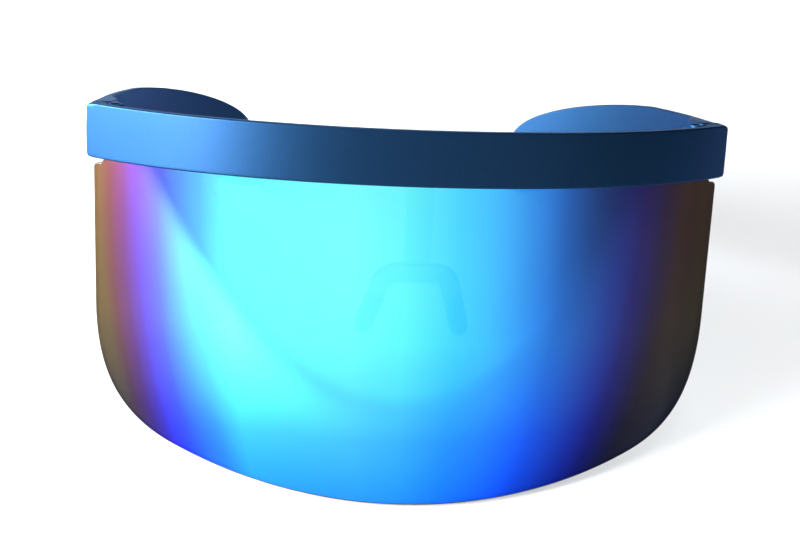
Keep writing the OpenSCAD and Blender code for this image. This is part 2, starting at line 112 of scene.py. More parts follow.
@dataclass(frozen=True)
class Sizes:
    """The model's sizes, in millimetres, as in the part's source."""

    half_w: float = 80.0
    front_r: float = 110.0
    bar_h: float = 12.7
    bar_arch: float = 0.6
    front_wall: float = 2.0
    top_wall: float = 2.2
    corner_r: float = 1.6
    end_t: float = 4.5
    end_y: float = 40.04
    end_slant: float = 0.6
    groove_d: float = 1.2
    bar_ri: float = 105.3
    lens_ro: float = 107.95
    lens_ri: float = 106.45
    lens_x: float = 78.6
    neck_x: float = 75.6
    neck_h: float = 1.3
    lens_drop: float = 89.8
    bottom_r: float = 205.0
    lens_corner_r: float = 1.3
    tab_x: float = 65.7
    pocket_a: float = 38.65
    neck_a: float = 45.47
    temple_y: float = 41.04
    temple_x: float = 79.6
    temple_l: float = 122.0
    block_x: float = 74.705
    block_l: float = 10.5
    blade_t: float = 2.2
    straight_l: float = 19.0
    bend_r: float = 180.0
    tip_drop: float = 42.0
    temple_sink: float = 0.4
    pin_x: float = 73.195
    pin_y: float = 38.64
    lip_r: float = 2.005
    lip_heights: tuple = ((-2.15, -0.6), (-13.1, -10.95))
    hole_r: float = 1.5
    fit: float = 0.05
    top_mount_y: float = 2.3

    @property
    def end_h(self) -> float:
        """Height of the bar at its ends."""
        return self.bar_h + self.bar_arch

    @property
    def corner(self) -> tuple[float, float]:
        """Middle of the rounding where the front turns to the side."""
        x = self.half_w - self.corner_r
        return x, self.front_r - math.sqrt((self.front_r - self.corner_r) ** 2 - x * x)


def cubic(points: list, steps: int) -> list:
    """Samples a cubic curve without its first point.

    Args:
        points: Its four control points.
        steps: How many points to give.

    Returns:
        The points, as tuples.
    """
    p = np.asarray(points, float)
    t = np.linspace(0, 1, steps + 1)[1:, None]
    curve = (1 - t) ** 3 * p[0] + 3 * t * (1 - t) ** 2 * p[1] + 3 * t * t * (1 - t) * p[2] + t**3 * p[3]
    return [tuple(q) for q in curve]


def arc(cx: float, cy: float, r: float, a0: float, a1: float, steps: int) -> list:
    """Samples an arc about (cx, cy) from the angle a0 to a1 in degrees, both ends included."""
    a = np.radians(np.linspace(a0, a1, steps + 1))
    return list(zip(cx + r * np.cos(a), cy + r * np.sin(a)))


def along(points: list, count: int, tight: float) -> Array:
    """Spreads points evenly along a line of corners, and keeps every corner.

    Args:
        points: The corners.
        count: How many steps to aim at.
        tight: Edges shorter than this are left whole.

    Returns:
        The line as an array.
    """
    p = np.asarray(points, float)
    length = np.linalg.norm(np.diff(p, axis=0), axis=1)
    pieces = np.where(length > tight, np.maximum(1, np.round(length / length.sum() * count)), 1).astype(int)
    start = np.repeat(np.arange(len(length)), pieces)
    first = np.repeat(np.cumsum(pieces) - pieces, pieces)
    share = (np.arange(pieces.sum()) - first) / np.repeat(pieces, pieces)
    return np.concatenate([p[start] + (p[start + 1] - p[start]) * share[:, None], p[-1:]])


def evenly(points: list, count: int) -> Array:
    """Spreads an exact number of points evenly along a smooth line.

    Args:
        points: The line.
        count: How many steps.

    Returns:
        The line as an array of count + 1 points.
    """
    p = np.asarray(points, float)
    s = np.concatenate([[0], np.cumsum(np.linalg.norm(np.diff(p, axis=0), axis=1))])
    at = np.linspace(0, s[-1], count + 1)
    return np.column_stack([np.interp(at, s, c) for c in p.T])


def new_object(name: str, verts: Array, faces: list) -> Object:
    """Makes a mesh object at the origin.

    Args:
        name: The piece's name.
        verts: Its points in metres.
        faces: Its faces.

    Returns:
        The object, linked to the scene.
    """
    mesh = bpy.data.meshes.new(name)
    mesh.from_pydata([tuple(v) for v in verts], [], [tuple(int(i) for i in f) for f in faces])
    mesh.validate()
    mesh.update()
    obj = bpy.data.objects.new(name, mesh)
    bpy.context.scene.collection.objects.link(obj)
    return obj


@dataclass
class Plate:
    """A plate with rounded rims, worked out flat and then bent into place.

    The flat plate lies in (u, v). Its outline runs clockwise round four sides: over the top from left to
    right, down the right side, back along the bottom and up the left side. Both faces are grids filled in
    between the four sides, and a rounded profile is carried along the whole outline between them.
    """

    top: Array
    right: Array
    bottom: Array
    left: Array
    rim: float
    bend: Callable[[Array, Array, Array, Array], Array]
    steps: int = 4

    def face(self, ring: Array) -> Array:
        """Fills a face in between its four sides.

        It is the sum of the two ruled surfaces between opposite sides, less the one between the corners.

        Args:
            ring: The outline's points at this face, in order.

        Returns:
            A grid of points, rows from top to bottom.
        """
        n, m = len(self.top) - 1, len(self.right) - 1
        t, r = ring[: n + 1], ring[n : n + m + 1]
        b = ring[n + m : 2 * n + m + 1][::-1]
        f = np.concatenate([ring[2 * n + m :], ring[:1]])[::-1]
        x = np.linspace(0, 1, n + 1)[None, :, None]
        y = np.linspace(0, 1, m + 1)[:, None, None]
        ruled = (1 - y) * t[None] + y * b[None] + (1 - x) * f[:, None] + x * r[:, None]
        corners = (1 - y) * ((1 - x) * t[0] + x * t[-1]) + y * ((1 - x) * b[0] + x * b[-1])
        return ruled - corners

    def build(self, name: str, stand: Stand) -> Object:
        """Makes the two faces and the rim, bends them and sets their normals.

        A rim point lies at the inset r(1 - sin t) and the depth r(1 - cos t) for t from 0 to a right angle.

        Args:
            name: The piece's name.
            stand: How the glasses stand.

        Returns:
            The new object, with material index 1 on its inner face and 2 on its rim.
        """
        line = np.concatenate([self.top, self.right[1:], self.bottom[1:], self.left[1:-1]])
        n, m, count = len(self.top) - 1, len(self.right) - 1, len(line)
        ahead = np.roll(line, -1, 0) - line
        ahead /= np.linalg.norm(ahead, axis=1, keepdims=True)
        out = np.column_stack([-ahead[:, 1], ahead[:, 0]])
        out = out + np.roll(out, 1, 0)
        mitre = out / np.maximum(np.einsum("ij,ij->i", out, out) / 2, 0.5)[:, None]
        out /= np.linalg.norm(out, axis=1, keepdims=True)
        t = np.linspace(0, math.pi / 2, self.steps + 1)
        depth = self.rim * (1 - np.cos(t))
        shrink = self.rim * (1 - np.sin(t))
        shrink, depth = np.concatenate([shrink, shrink[::-1]]), np.concatenate([depth, -depth[::-1]])
        k = len(shrink)
        rings = line[None] - shrink[:, None, None] * mitre[None]
        lift = np.concatenate([-np.cos(t), np.cos(t[::-1])])
        side = np.concatenate([np.sin(t), np.sin(t[::-1])])
        flat_n = np.concatenate(
            [side[:, None, None] * out[None], np.broadcast_to(lift[:, None, None], (k, count, 1))], axis=2
        )
        faces = [self.face(rings[0]), self.face(rings[-1])]
        inner = [f[1:-1, 1:-1].reshape(-1, 2) for f in faces]
        size = len(inner[0])
        uv = np.concatenate([rings.reshape(-1, 2), *inner])
        w = np.concatenate([np.repeat(depth, count), np.zeros(2 * size)])
        outer = np.concatenate([np.repeat(np.arange(k) < k // 2, count), np.arange(2 * size) < size])
        normals = np.concatenate(
            [flat_n.reshape(-1, 3), np.tile([0.0, 0.0, -1.0], (size, 1)), np.tile([0.0, 0.0, 1.0], (size, 1))]
        )
        quads = [self.band(k, count)]
        for i, start in ((0, k * count), (1, k * count + size)):
            grid = np.empty((m + 1, n + 1), int)
            ring = np.arange(count) + i * (k - 1) * count
            grid[0], grid[:, -1] = ring[: n + 1], ring[n : n + m + 1]
            grid[-1] = ring[n + m : 2 * n + m + 1][::-1]
            grid[1:-1, 0] = ring[2 * n + m + 1 :][::-1]
            grid[1:-1, 1:-1] = (start + np.arange(size)).reshape(m - 1, n - 1)
            q = np.stack([grid[:-1, :-1], grid[1:, :-1], grid[1:, 1:], grid[:-1, 1:]], axis=-1).reshape(-1, 4)
            quads.append(q[:, ::-1] if i else q)
        return self.mesh(name, stand, uv, w, outer, normals, quads)

    @staticmethod
    def band(k: int, count: int) -> Array:
        """Lists the quads between rings of points.

        Args:
            k: Number of rings.
            count: Points in each.

        Returns:
            Rows of four indices.
        """
        i = np.arange(count)
        j = (i + 1) % count
        r = np.arange(k - 1)[:, None] * count
        return np.stack([r + i, r + j, r + count + j, r + count + i], axis=-1).reshape(-1, 4)

    def mesh(
        self, name: str, stand: Stand, uv: Array, w: Array, outer: Array, normals: Array, quads: list
    ) -> Object:
        """Bends the flat points and normals and makes the object.

        A normal turns with the inverse transpose of the bend's own derivative.

        Args:
            name: Its name.
            stand: How the glasses stand.
            uv: Flat places.
            w: Depths.
            outer: Which points belong to the outer half.
            normals: Flat normals.
            quads: Quads of the rim, the outer and the inner face.

        Returns:
            The object.
        """
        co = np.column_stack([uv, w])

        def bent(p: Array) -> Array:
            """Bends rows of flat places and depths."""
            return self.bend(p[:, 0], p[:, 1], p[:, 2], outer)

        step = 1e-4
        jac = np.stack([(bent(co + step * e) - bent(co - step * e)) / (2 * step) for e in np.eye(3)], axis=2)
        turned = np.linalg.solve(np.transpose(jac, (0, 2, 1)), normals[:, :, None])[:, :, 0]
        turned = stand.turn(turned / np.linalg.norm(turned, axis=1, keepdims=True))
        faces = np.concatenate(quads)
        if np.linalg.det(jac[0]) > 0:
            faces = faces[:, ::-1]
        obj = new_object(name, stand.place(bent(co)), faces)
        mesh = obj.data
        mesh.shade_smooth()
        index = np.repeat([2, 0, 1], [len(q) for q in quads]).astype(np.int32)
        mesh.polygons.foreach_set("material_index", index)
        mesh.normals_split_custom_set_from_vertices(turned.tolist())
        return obj


@dataclass(frozen=True)
class Graph:
    """A small helper to add nodes to a tree."""

    tree: bpy.types.NodeTree

    def put(self, node: Node, **values: object) -> Node:
        """Sets a node's properties and inputs.

        Args:
            node: The node.
            **values: Properties by name, and inputs by label with _ for spaces or by place as i0 and on.

        Returns:
            The node.
        """
        for key, value in values.items():
            if key in node.bl_rna.properties:
                setattr(node, key, value)
                continue
            placed = key[0] == "i" and key[1:].isdigit()
            socket = node.inputs[int(key[1:]) if placed else key.replace("_", " ")]
            if isinstance(value, Socket):
                self.tree.links.new(value, socket)
            else:
                socket.default_value = value
        return node

    def add(self, kind: str, **values: object) -> Node:
        """Adds a shader node and puts in its values."""
        return self.put(self.tree.nodes.new(f"ShaderNode{kind}"), **values)

    def math(self, operation: str, a: object, b: object) -> Socket:
        """Adds a maths node and gives its output."""
        return self.add("Math", operation=operation, i0=a, i1=b).outputs[0]

    def vector(self, operation: str, a: object, b: object = (0.0, 0.0, 0.0)) -> Socket:
        """Adds a vector maths node and gives its output, which may be a number."""
        node = self.add("VectorMath", operation=operation, i0=a, i1=b)
        return node.outputs["Value" if operation in ("DOT_PRODUCT", "LENGTH") else "Vector"]

    def ramp(self, fac: Socket, stops: tuple, way: str = "LINEAR") -> Socket:
        """Adds a colour ramp.

        Args:
            fac: What drives it.
            stops: Pairs of position and linear colour or grey, in rising order.
            way: How it blends.

        Returns:
            Its colour output.
        """
        node = self.add("ValToRGB", Fac=fac)
        node.color_ramp.interpolation = way
        first, *middle, last = ((p, (*c, 1.0) if isinstance(c, tuple) else (c, c, c, 1.0)) for p, c in stops)
        bar = node.color_ramp.elements
        bar[0].position, bar[0].color = first
        bar[1].position, bar[1].color = last
        for place, colour in middle:
            bar.new(place).color = colour
        return node.outputs["Color"]

    def blend(self, mask: Socket, dark: tuple, light: tuple, low: float = 0.3) -> Socket:
        """Adds a ramp between two colours over the middle of a noise mask."""
        return self.ramp(mask, ((low, dark), (0.7, light)))


def shaded(name: str) -> tuple[bpy.types.Material, Graph, Node]:
    """Starts a material with one shader.

    Args:
        name: The material's name.

    Returns:
        The material, its graph and the shader.
    """
    material = bpy.data.materials.new(name)
    material.use_nodes = True
    g = Graph(material.node_tree)
    g.tree.nodes.clear()
    shader = g.add("BsdfPrincipled")
    g.add("OutputMaterial", Surface=shader.outputs["BSDF"])
    return material, g, shader


def fine_grain() -> bpy.types.NodeTree:
    """Makes the shared group for fine moulded grain and slow unevenness.

    Returns:
        A node group with a slow mask, a fine mask and a bumped normal.
    """
    name, slow_share, depth = "Fine grain", 0.03, 2e-5
    if name in bpy.data.node_groups:
        return bpy.data.node_groups[name]
    tree = bpy.data.node_groups.new(name, "ShaderNodeTree")
    for way, kind, labels in (
        ("INPUT", "Float", ("Scale", "Bump")),
        ("OUTPUT", "Float", ("Slow", "Fine")),
        ("OUTPUT", "Vector", ("Normal",)),
    ):
        for label in labels:
            tree.interface.new_socket(label, in_out=way, socket_type=f"NodeSocket{kind}")
    g = Graph(tree)
    given = tree.nodes.new("NodeGroupInput").outputs
    place = g.add("TexCoord").outputs["Object"]
    wide = g.math("MULTIPLY", given["Scale"], slow_share)
    slow = g.add("TexNoise", Vector=place, Scale=wide, Detail=3.0).outputs["Fac"]
    fine = g.add("TexNoise", Vector=place, Scale=given["Scale"], Detail=6.0).outputs["Fac"]
    bump = g.add("Bump", Height=fine, Strength=given["Bump"], Distance=depth)
    g.put(tree.nodes.new("NodeGroupOutput"), Slow=slow, Fine=fine, Normal=bump.outputs["Normal"])
    return tree


@dataclass(frozen=True)
class Finish:
    """One material: its grain, the two colours it blends and more of the shader's inputs."""

    name: str
    roughness: float
    spread: float
    grain: float
    bump: float
    dark: tuple = ()
    light: tuple = ()
    more: dict = field(default_factory=dict)

    def colour(self, g: Graph, grain: Node) -> Socket:
        """Blends the two colours by the slow mask."""
        return g.blend(grain.outputs["Slow"], self.dark, self.light)

    def build(self) -> bpy.types.Material:
        """Builds the material, with grain in its roughness and normal.

        Returns:
            The material.
        """
        material, g, shader = shaded(self.name)
        grain = g.add("Group", node_tree=fine_grain(), Scale=self.grain, Bump=self.bump)
        slow = g.math("MULTIPLY", grain.outputs["Slow"], self.spread)
        rough = g.math("ADD", slow, self.roughness - self.spread / 2)
        g.put(shader, Roughness=rough, Normal=grain.outputs["Normal"], Base_Color=self.colour(g, grain))
        g.put(shader, **self.more)
        return material


class Paint(Finish):
    """Metallic paint with fine flakes."""

    def colour(self, g: Graph, grain: Node) -> Socket:
        """Blends the two colours by the fine mask."""
        return g.blend(grain.outputs["Fine"], self.dark, self.light, 0.35)


@dataclass(frozen=True)
class Steel(Finish):
    """Brushed steel."""

    stretch: tuple = (40.0, 1.0, 1.0)
    brush: float = 400.0

    def colour(self, g: Graph, grain: Node) -> Socket:
        """Blends the two colours by brush marks.

        Args:
            g: The graph.
            grain: Its grain node, which the marks don't follow.

        Returns:
            The colour.
        """
        place = g.add("TexCoord").outputs["Object"]
        stretched = g.add("Mapping", Vector=place, Scale=self.stretch).outputs["Vector"]
        marks = g.add("TexNoise", Vector=stretched, Scale=self.brush, Detail=4.0)
        return g.blend(marks.outputs["Fac"], self.dark, self.light)


@dataclass(frozen=True)
class Mirror(Finish):
    """The lens's mirror coating.

    Its tint runs from bronze through rose and violet to ice blue and on to navy and bronze. The tint is partly
    painted reflection: it lays the colours that the coating reflects at one view onto the lens, darker towards
    the right where the lens mirrors the dark room and deeper blue lower down where it mirrors the pale floor.
    Heights run along up, and the span lies that far below the top. Down the span the blue deepens and the
    bands draw in with the cube of the way, on the left by a start and a growth.
    """

    up: tuple = (0.0, 0.0, 1.0)
    top: float = 0.0
    half: float = 0.0786
    span: tuple = (0.0146, 0.0898)
    draw_right: float = 0.41
    draw_left: tuple = (0.02, 0.22)
    # Partly painted reflection: these are the coating's colours at one view, and they darken to navy and bronze
    # on the right where the lens mirrors the dark room.
    tint_and_painted_reflection: tuple = (
        (0.000, (0.15, 0.08, 0.035)), (0.020, (0.145, 0.045, 0.05)),
        (0.045, (0.13, 0.037, 0.14)), (0.065, (0.115, 0.045, 0.30)),
        (0.083, (0.105, 0.067, 0.53)), (0.103, (0.09, 0.10, 0.72)),
        (0.135, (0.09, 0.26, 0.95)), (0.170, (0.10, 0.48, 1.0)),
        (0.215, (0.15, 1.0, 1.0)), (0.400, (0.18, 1.0, 1.0)),
        (0.480, (0.13, 0.90, 1.0)), (0.560, (0.06, 0.62, 1.0)),
        (0.635, (0.05, 0.42, 1.0)), (0.685, (0.035, 0.27, 0.92)),
        (0.720, (0.026, 0.17, 0.70)), (0.765, (0.026, 0.10, 0.46)),
        (0.810, (0.026, 0.045, 0.30)), (0.850, (0.026, 0.02, 0.15)),
        (0.895, (0.03, 0.018, 0.05)), (0.930, (0.045, 0.024, 0.022)),
        (1.000, (0.07, 0.045, 0.03)),
    )
    # Partly painted reflection: the deeper blue lower down stands for the pale floor that the lens mirrors.
    down: tuple = (
        (0.00, (1.0, 1.0, 1.0)), (0.47, (0.77, 1.0, 1.0)),
        (0.65, (0.5, 0.72, 1.0)), (0.79, (0.25, 0.43, 1.0)),
        (0.92, (0.13, 0.31, 0.95)), (1.00, (0.09, 0.24, 0.85)),
    )

    def colour(self, g: Graph, grain: Node) -> Socket:
        """Lays out the bands, which are partly painted reflection: a ramp across the lens, times a ramp down
        it.

        Args:
            g: The graph.
            grain: Its grain node, which the bands don't follow.

        Returns:
            The colour.
        """
        place = g.add("TexCoord").outputs["Object"]
        x = g.add("SeparateXYZ", Vector=place).outputs["X"]
        height = g.vector("DOT_PRODUCT", place, self.up)
        high, low = (self.top - below for below in self.span)
        down = g.add("MapRange", Value=height, From_Min=high, From_Max=low).outputs["Result"]
        cube = g.math("POWER", down, 3.0)
        right = g.math("MULTIPLY", cube, self.draw_right)
        left = g.math("ADD", g.math("MULTIPLY", cube, self.draw_left[1]), self.draw_left[0])
        is_left = g.math("LESS_THAN", x, 0.0)
        draw = g.math("ADD", right, g.math("MULTIPLY", is_left, g.math("SUBTRACT", left, right)))
        wide = g.math("MULTIPLY", x, g.math("ADD", draw, 1.0))
        share = g.add("MapRange", Value=wide, From_Min=-self.half, From_Max=self.half)
        mixed = g.add("Mix", data_type="RGBA", blend_type="MULTIPLY", Factor=1.0)
        g.put(mixed, i6=g.ramp(share.outputs["Result"], self.tint_and_painted_reflection), i7=g.ramp(down, self.down))
        return mixed.outputs[2]


@dataclass
class Wardrobe:
    """Every finish, built once."""

    stand: Stand
    made: dict = field(init=False)

    def __post_init__(self) -> None:
        """Builds the finishes."""
        up = (0.0, math.sin(self.stand.lean), math.cos(self.stand.lean))
        top = self.stand.shift_y * up[1] + self.stand.shift_z * up[2]
        finishes = {
            "paint": Paint(
                "Satin blue paint", roughness=0.43, spread=0.05, grain=3000.0, bump=0.08,
                dark=(0.0036, 0.0235, 0.066), light=(0.0052, 0.031, 0.083),
                more=dict(
                    Metallic=0.94, Specular_Tint=(0.25, 0.5, 0.85, 1.0), Coat_Weight=0.1, Coat_Roughness=0.35
                ),
            ),
            "inner": Finish(
                "Dark inner plastic", roughness=0.45, spread=0.1, grain=1800.0, bump=0.3,
                dark=(0.010, 0.016, 0.03), light=(0.02, 0.03, 0.05),
            ),
            "clear": Finish(
                "Clear plastic", roughness=0.12, spread=0.06, grain=900.0, bump=0.05,
                dark=(0.66, 0.76, 0.82), light=(0.78, 0.86, 0.9), more=dict(Transmission_Weight=0.75, IOR=1.5),
            ),
            "silicone": Finish(
                "Soft silicone", roughness=0.5, spread=0.1, grain=1500.0, bump=0.2,
                dark=(0.52, 0.6, 0.66), light=(0.62, 0.7, 0.75), more=dict(Transmission_Weight=0.3, IOR=1.41),
            ),
            "steel": Steel(
                "Brushed steel", roughness=0.3, spread=0.1, grain=1200.0, bump=0.1,
                dark=(0.42, 0.43, 0.45), light=(0.66, 0.67, 0.69), more=dict(Metallic=1.0),
            ),
            "mirror": Mirror(
                "Mirror coating with painted reflection", roughness=0.05, spread=0.02, grain=500.0, bump=0.0, up=up, top=top,
                more=dict(Metallic=0.8, Specular_Tint=(0.3, 0.32, 0.36, 1.0), Transmission_Weight=1.0, IOR=1.3),
            ),
            "edge": Finish(
                "Polished lens edge", roughness=0.35, spread=0.05, grain=900.0, bump=0.02,
                dark=(0.016, 0.014, 0.016), light=(0.03, 0.026, 0.026), more=dict(Specular_IOR_Level=0.15),
            ),
            "smoke": Finish(
                "Smoke brown lens", roughness=0.06, spread=0.03, grain=600.0, bump=0.0,
                dark=(0.14, 0.11, 0.09), light=(0.18, 0.15, 0.12), more=dict(Transmission_Weight=1.0, IOR=1.5),
            ),
        }
        self.made = {k: f.build() for k, f in finishes.items()}

    def wear(self, obj: Object, *names: str) -> None:
        """Gives an object its materials.

        Args:
            obj: The object.
            *names: One finish for each of its material slots.
        """
        slots = obj.data.materials
        while len(slots) < len(names):
            slots.append(None)
        for i, n in enumerate(names):
            slots[i] = self.made[n]


@dataclass
class Lens:
    """The one large wrap lens.

    Its straight side ends at side_share of the drop and its bottom arc at foot_share of the half width. The
    pulls say how long the curve between keeps to either, and the notch is the slope at its neck.
    """

    sizes: Sizes
    stand: Stand
    side_share: float = 0.56
    side_pull: float = 0.18
    foot_share: float = 0.735
    foot_pull: float = 0.2
    notch: tuple = ((0.25, 0.75), (0.9, 0.0))
    curve_steps: int = 60
    rim: float = 0.35
    rim_steps: int = 5

    def outline(self) -> Sides:
        """Draws the lens seen from the front.

        The tab that goes up into the bar comes first, then the neck and the small upper corners, the
        straight sides, a cubic curve round each lower corner and one wide arc along the bottom.

        Returns:
            Its top, right, bottom and left sides, clockwise.
        """
        s = self.sizes
        top, r = -(s.end_h + s.neck_h), s.lens_corner_r
        foot_x = s.lens_x * self.foot_share
        foot_cos = math.sqrt(s.bottom_r**2 - foot_x**2)
        foot_z = -s.lens_drop + s.bottom_r - foot_cos
        pull = s.lens_x * self.foot_pull
        side_z = -s.lens_drop * self.side_share
        tab, groove = -s.top_wall - s.fit, -s.bar_h + s.groove_d - s.fit
        over = [(0.0, tab), (s.tab_x, tab), (s.tab_x, groove), (s.neck_x, groove), (s.neck_x, -s.end_h)]
        over += [(s.neck_x + x, top + z) for x, z in self.notch] + arc(s.lens_x - r, top - r, r, 90, 45, 4)
        side = [*arc(s.lens_x - r, top - r, r, 45, 0, 4), (s.lens_x, side_z)]
        ends = ((foot_x + pull, foot_z + pull * foot_x / foot_cos), (foot_x, foot_z))
        half = self.curve_steps // 2
        curve = cubic([side[-1], (s.lens_x, side_z - s.lens_drop * self.side_pull), *ends], self.curve_steps)
        a = np.arcsin(foot_x / s.bottom_r) * (1 - np.linspace(0, 1, self.curve_steps + 1)[1:])
        foot = list(zip(s.bottom_r * np.sin(a), -s.lens_drop + s.bottom_r * (1 - np.cos(a))))
        top_right = along(over, count=80, tight=1.0)
        top = np.concatenate([top_right[:0:-1] * [-1, 1], top_right])
        right = np.concatenate([along(side, count=14, tight=0.4), evenly([side[-1], *curve[:half]], 20)[1:]])
        low_right = evenly([*curve[half - 1 :], *foot], len(top_right) - 1)
        bottom = np.concatenate([low_right, low_right[-2::-1] * [-1, 1]])
        return top, right, bottom, right[::-1] * [-1, 1]

    def bend(self, u: Array, v: Array, w: Array, outer: Array) -> Array:
        """Lays the flat lens on its cylinder.

        Args:
            u: Straight distance across.
            v: Height.
            w: Depth from the front, or from the back where negative.
            outer: Which points belong to the front half.

        Returns:
            The points in millimetres.
        """
        s = self.sizes
        r = np.where(outer, s.lens_ro, s.lens_ri) - w
        a = np.arcsin(np.clip(u / s.lens_ro, -1, 1))
        return np.column_stack([r * np.sin(a), s.front_r - r * np.cos(a), v])

    def build(self, wardrobe: Wardrobe) -> Object:
        """Builds the lens.

        Args:
            wardrobe: The finishes.

        Returns:
            The piece.
        """
        obj = Plate(*self.outline(), self.rim, self.bend, self.rim_steps).build("lens_shell", self.stand)
        wardrobe.wear(obj, "mirror", "smoke", "edge")
        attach(obj, Body.FRONT.value)
        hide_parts("lens")
        return obj


class Channel(IntEnum):
    """What lies behind the bar's front wall."""

    POCKET = 0
    GROOVE = 1
    SOLID = 2


@dataclass
class BrowBar:
    """The flat-top bar, one section carried from one end piece to the other.

    The rings run over the lens's pocket, over its groove, round the corner and straight back to the end. In
    front_rows are heights of points on the front face, from the top and from the lower edge.
    """

    sizes: Sizes
    stand: Stand
    edge: float = 0.35
    top_corner: float = 1.2
    low_corner: float = 1.1
    top_lean: float = 0.45
    low_lean: float = 0.25
    flat_top: float = 1.8
    top_fall: float = 0.5
    top_lean_run: float = 5.5
    low_lean_from: float = 7.5
    low_lean_run: float = 5.8
    foot_r: tuple = (0.4, 0.7)
    foot_rings: int = 14
    least_r: float = 0.02
    end_extra: float = 0.1
    neck_margin: float = 0.1
    corner_room: float = 0.3
    slack: float = 0.3
    pocket_step: float = 2.6
    back_step: float = 0.4
    dip: float = 0.035
    front_rows: tuple = ((-0.5, -0.65, -0.85, -1.1), (1.5, 1.25, 1.0, 0.85))
    rings: tuple = (52, 10, 10)
    steps: int = 5

    def stations(self) -> dict[str, Array]:
        """Lists the rings of the right half, from the middle outwards.

        Returns:
            Arrays of outer and inner plan points, channels, shrinks and lower edge radii.
        """
        s = self.sizes
        cx, cy = s.corner
        corner_a = math.degrees(math.atan2(cx, s.front_r - cy))
        inner_x = s.half_w - s.end_t
        inner_a = math.degrees(math.asin(inner_x / s.bar_ri))
        inner_y = s.front_r - s.bar_ri * math.cos(math.radians(inner_a))
        neck_a = s.neck_a - self.neck_margin
        pocket, groove, turn = self.rings
        over = np.linspace(0, s.pocket_a, pocket), np.linspace(s.pocket_a, neck_a, groove)
        arcs_out = np.concatenate([*over, [neck_a, corner_a]])
        arcs_in = np.concatenate([arcs_out[:-1], [inner_a]])
        o, i = np.radians(arcs_out), np.radians(arcs_in)
        round_pts = np.asarray(arc(cx, cy, s.corner_r, corner_a - 90, 0, turn)[1:])
        e = self.edge + self.end_extra
        t = np.linspace(0, math.pi / 2, self.steps + 1)[1:]
        straight = np.linspace(inner_y + self.corner_room, s.end_y - e, 4)
        back = np.concatenate([straight, s.end_y - e * (1 - np.sin(t))])

        def plan(r: float, a: Array, turned: Array, x: float) -> Array:
            """Joins the points of the arcs, the corner and the straight end."""
            arcs = np.column_stack([r * np.sin(a), s.front_r - r * np.cos(a)])
            return np.concatenate([arcs, turned, np.column_stack([np.full(len(back), x), back])])

        outer = plan(s.front_r, o, round_pts, s.half_w)
        inner = plan(s.bar_ri, i, np.tile([inner_x, inner_y], (turn, 1)), inner_x)
        kind = np.full(len(outer), Channel.SOLID)
        kind[:pocket], kind[pocket : pocket + groove] = Channel.POCKET, Channel.GROOVE
        shrink = np.zeros(len(outer))
        shrink[-len(t) :] = e * (1 - np.cos(t))
        last = pocket + groove - 1
        foot = np.interp(np.arange(len(outer)), [last, last + self.foot_rings], self.foot_r)
        return dict(outer=outer, inner=inner, kind=kind, shrink=shrink, foot=foot)

    def sections(self, width: Array, height: Array, ring: dict) -> tuple[Array, Array]:
        """Draws every cross section, from the top front edge round to the top again.

        Quarter circles join the faces, and the channel behind the front wall has four points.

        Args:
            width: Depth of each section.
            height: Height of the bar at each.
            ring: The stations.

        Returns:
            Depths and heights, one row for each ring.
        """
        s = self.sizes
        kind, d = ring["kind"], ring["shrink"]
        e, f = np.maximum(self.edge - d, self.least_r), np.maximum(ring["foot"] - d, self.least_r)
        low, back = -height + d, width - d
        pocket, groove = kind == Channel.POCKET, kind == Channel.GROOVE
        roof = np.where(pocket, -s.top_wall, np.where(groove, -s.bar_h + s.groove_d, low))
        base = np.where(pocket, -s.top_wall, low)
        fall = self.top_fall + d

        def bow(cx: Array, cz: Array, r: Array, a0: float, a1: float) -> list:
            """Draws an arc in every section."""
            a = np.radians(np.linspace(a0, a1, self.steps + 1))
            return [cx[:, None] + r[:, None] * np.cos(a), cz[:, None] + r[:, None] * np.sin(a)]

        high, deep = self.front_rows
        rows = np.column_stack([np.tile(high, (len(d), 1)), -height / 2, np.add.outer(-height, deep)])
        a, b = s.front_r - s.lens_ro, s.front_r - s.lens_ri + s.fit
        flat = [self.flat_top + self.back_step, self.flat_top]
        gap = np.where(groove, 0.0, self.slack)
        wall = [s.front_wall - self.least_r, s.front_wall, self.pocket_step]
        channel_w = np.where(
            pocket[:, None],
            np.column_stack([np.full((len(d), 3), wall), back - e - self.back_step]),
            np.column_stack([np.full(len(d), a), a + gap, b - gap, np.full(len(d), b)]),
        )
        channel_z = np.column_stack([low, roof, roof, np.where(pocket, roof, low)])
        parts = [
            bow(d + e, -d - e, e, 90, 180),
            [np.repeat(d[:, None], rows.shape[1], 1), rows],
            bow(d + f, low + f, f, 180, 270),
            [channel_w, channel_z],
            bow(back - e, base + e, e, 270, 360),
            bow(back - e, -fall - e, e, 0, 90),
            [np.add.outer(d, flat), np.add.outer(-d, [-self.dip, 0.0])],
        ]
        return np.concatenate([p[0] for p in parts], 1), np.concatenate([p[1] for p in parts], 1)

    def side(self, z: Array, shrink: Array) -> Array:
        """Gives how far out the end may reach at each height.

        The side is a little crowned: it leans in with the square of the distance from its widest height, and
        meets the top and bottom in circle arcs.

        Args:
            z: Heights.
            shrink: How far each ring is drawn in.

        Returns:
            The greatest X.
        """
        s = self.sizes
        up, down = self.top_corner, self.low_corner
        near_top = np.clip(up + z, 0, up)
        near_low = np.clip(down - (z + s.end_h), 0, down)
        cut = up - np.sqrt(up**2 - near_top**2) + down - np.sqrt(down**2 - near_low**2)
        lean = self.top_lean * np.clip(1 + z / self.top_lean_run, 0, 1) ** 2
        lean += self.low_lean * np.clip(-(z + self.low_lean_from) / self.low_lean_run, 0, 1) ** 2
        return s.half_w - lean - cut - shrink

